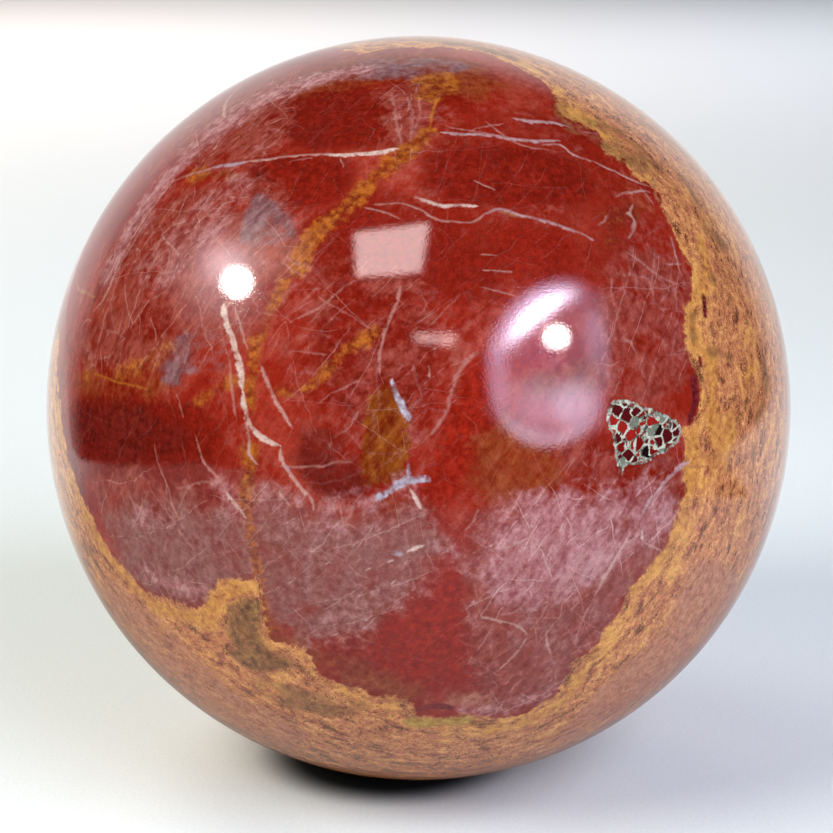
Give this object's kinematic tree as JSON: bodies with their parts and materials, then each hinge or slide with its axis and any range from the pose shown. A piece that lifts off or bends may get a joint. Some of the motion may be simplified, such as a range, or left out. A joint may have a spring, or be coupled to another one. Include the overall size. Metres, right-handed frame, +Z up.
{
  "type": "polished jasper sphere",
  "caption": "Polished solid ball of red jasper with ochre and white veins, ground flat on a small round foot so that it stands by itself.",
  "frame": {"origin": "middle of the small ground foot on which the ball stands, directly below its centre", "axes": "+Z up through the ball's centre; -Y is the side that shows the red core with its ochre and white veins; +X is to the right seen from there, where the tan rind begins"},
  "size_m": [0.12, 0.12, 0.1193],
  "materials": {
    "jasper": "polished red jasper, high gloss"
  },
  "bodies": {
    "root": {"jasper_ball": "jasper"}
  },
  "joints": []
}
